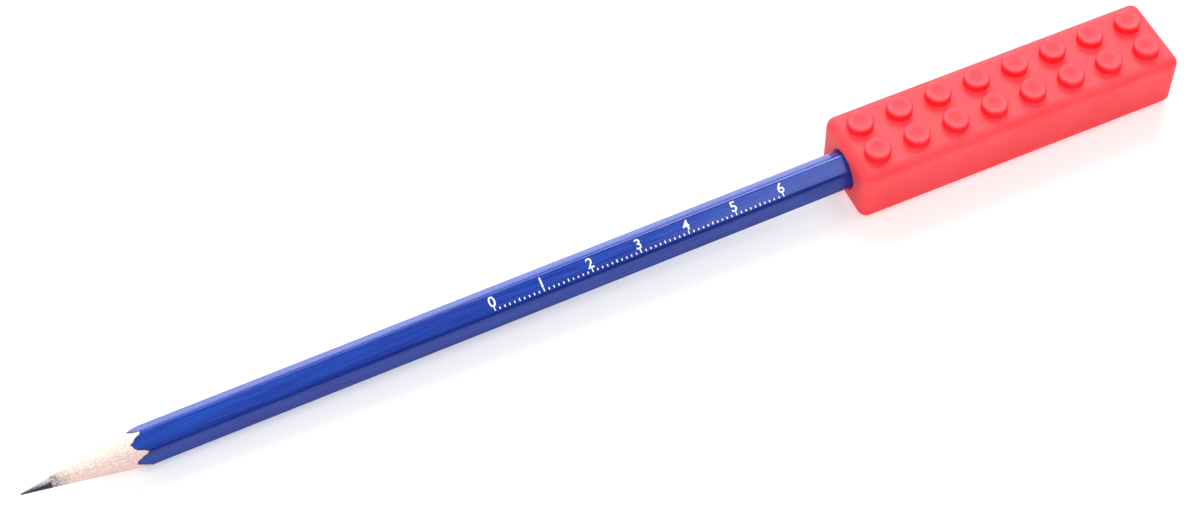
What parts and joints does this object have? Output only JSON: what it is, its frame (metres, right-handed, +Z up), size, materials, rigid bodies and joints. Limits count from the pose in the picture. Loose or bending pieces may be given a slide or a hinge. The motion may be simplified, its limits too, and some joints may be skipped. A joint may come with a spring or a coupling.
{
  "type": "chewable pencil topper",
  "caption": "Soft rectangular chew topper with rows of low round studs and a blind round socket, slipped over the end of a sharpened hexagonal pencil.",
  "frame": {"origin": "under the middle of the whole object's box, on the plane of the topper's flat base", "axes": "+X along the topper from its mouth to its far end, away from the pencil's tip, +Z up through the studs, +Y to the left seen from the tip"},
  "size_m": [0.236, 0.0176, 0.0148],
  "materials": {
    "elastomer": "matt moulded soft elastomer, red",
    "lacquer": "glossy blue lacquer with fine streaks along the grain",
    "casing_wood": "freshly sharpened pale softwood, bare",
    "graphite": "satin fired graphite and clay"
  },
  "bodies": {
    "pencil": {"lacquer_coat": "lacquer", "upper_slat": "casing_wood", "lower_slat": "casing_wood", "graphite_core": "graphite"},
    "topper": {"topper_body": "elastomer"}
  },
  "joints": [
    {"name": "topper_pull", "type": "slide", "parent": "pencil", "child": "topper", "axis": [0.9998, 0, 0.0184], "range_m": [0, 0.03]}
  ]
}
